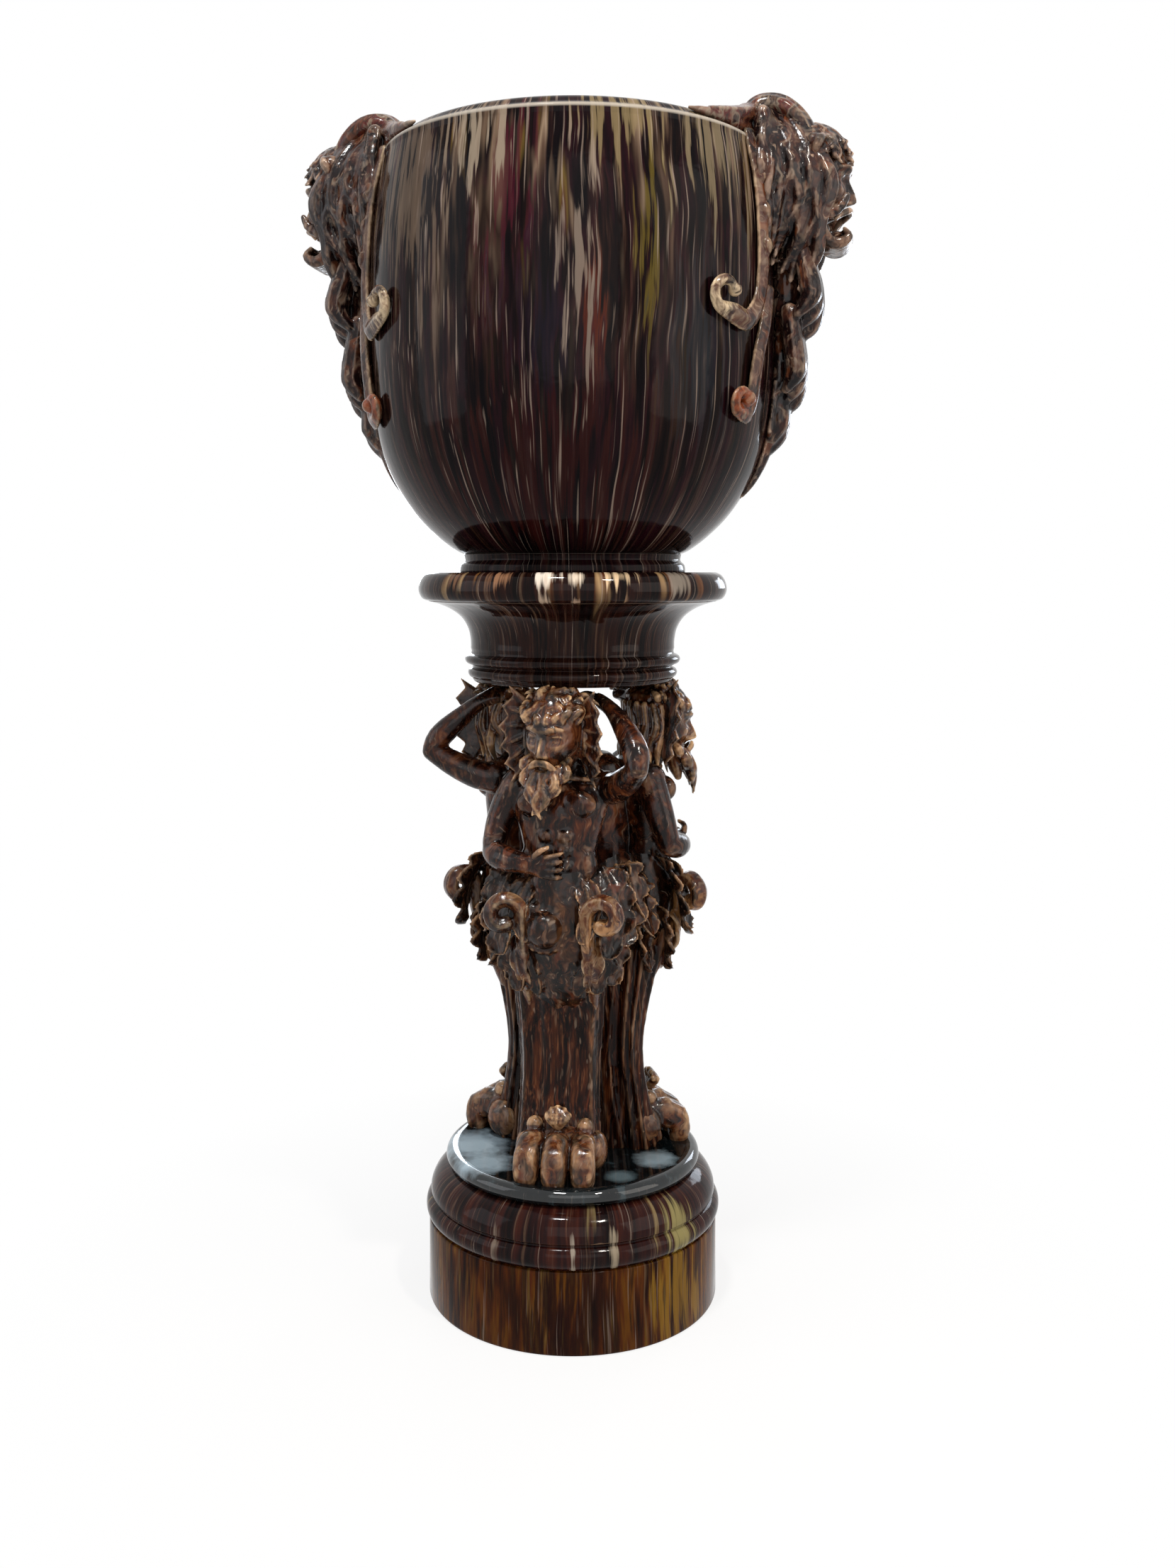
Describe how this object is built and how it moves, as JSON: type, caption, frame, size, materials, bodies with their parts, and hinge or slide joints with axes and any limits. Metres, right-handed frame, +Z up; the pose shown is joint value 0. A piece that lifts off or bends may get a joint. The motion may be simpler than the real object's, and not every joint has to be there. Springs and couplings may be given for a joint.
{
  "type": "jardiniere on stand",
  "caption": "Glazed earthenware jardiniere with grotesque mask handles, standing loose on a pedestal of figures back to back between a round plinth and a flared capital.",
  "frame": {"origin": "centre of the stand's foot, on the floor", "axes": "+Z up the common axis of stand and bowl; the first figure faces -Y; the bowl's handles lie on +X and -X"},
  "size_m": [0.5662, 0.3946, 1.1614],
  "materials": {
    "glaze_streaked": "glossy streaked glaze",
    "glaze_relief": "glossy streaked glaze over relief",
    "glaze_russet": "glossy russet and brown glaze",
    "glaze_aubergine": "glossy dark aubergine glaze",
    "glaze_amber": "glossy amber brown glaze"
  },
  "bodies": {
    "stand": {"capital_bell": "glaze_aubergine", "capital_dish": "glaze_aubergine", "figure_1_beard": "glaze_russet", "figure_1_ear_fins": "glaze_russet", "figure_1_folded_arm": "glaze_russet", "figure_1_head": "glaze_russet", "figure_1_hip_scrolls": "glaze_russet", "figure_1_leaf_skirt": "glaze_russet", "figure_1_paw": "glaze_russet", "figure_1_raised_arm": "glaze_russet", "figure_1_shaft": "glaze_russet", "figure_1_torso": "glaze_russet", "figure_2_beard": "glaze_russet", "figure_2_ear_fins": "glaze_russet", "figure_2_folded_arm": "glaze_russet", "figure_2_head": "glaze_russet", "figure_2_hip_scrolls": "glaze_russet", "figure_2_leaf_skirt": "glaze_russet", "figure_2_paw": "glaze_russet", "figure_2_raised_arm": "glaze_russet", "figure_2_shaft": "glaze_russet", "figure_2_torso": "glaze_russet", "figure_3_beard": "glaze_russet", "figure_3_ear_fins": "glaze_russet", "figure_3_folded_arm": "glaze_russet", "figure_3_head": "glaze_russet", "figure_3_hip_scrolls": "glaze_russet", "figure_3_leaf_skirt": "glaze_russet", "figure_3_paw": "glaze_russet", "figure_3_raised_arm": "glaze_russet", "figure_3_shaft": "glaze_russet", "figure_3_torso": "glaze_russet", "plateau": "glaze_aubergine", "plinth_drum": "glaze_amber", "plinth_moulding": "glaze_aubergine"},
    "jardiniere": {"bowl": "glaze_streaked", "bowl_foot_ring": "glaze_streaked", "left_handle_beard": "glaze_relief", "left_handle_crest": "glaze_relief", "left_handle_horns": "glaze_relief", "left_handle_leaf_drop": "glaze_relief", "left_handle_lower_straps": "glaze_relief", "left_handle_mane": "glaze_relief", "left_handle_mask": "glaze_relief", "left_handle_upper_straps": "glaze_relief", "right_handle_beard": "glaze_relief", "right_handle_crest": "glaze_relief", "right_handle_horns": "glaze_relief", "right_handle_leaf_drop": "glaze_relief", "right_handle_lower_straps": "glaze_relief", "right_handle_mane": "glaze_relief", "right_handle_mask": "glaze_relief", "right_handle_upper_straps": "glaze_relief"}
  },
  "joints": [
    {"name": "jardiniere_lift", "type": "slide", "parent": "stand", "child": "jardiniere", "axis": [0, 0, 1], "range_m": [0, 0.12]}
  ]
}
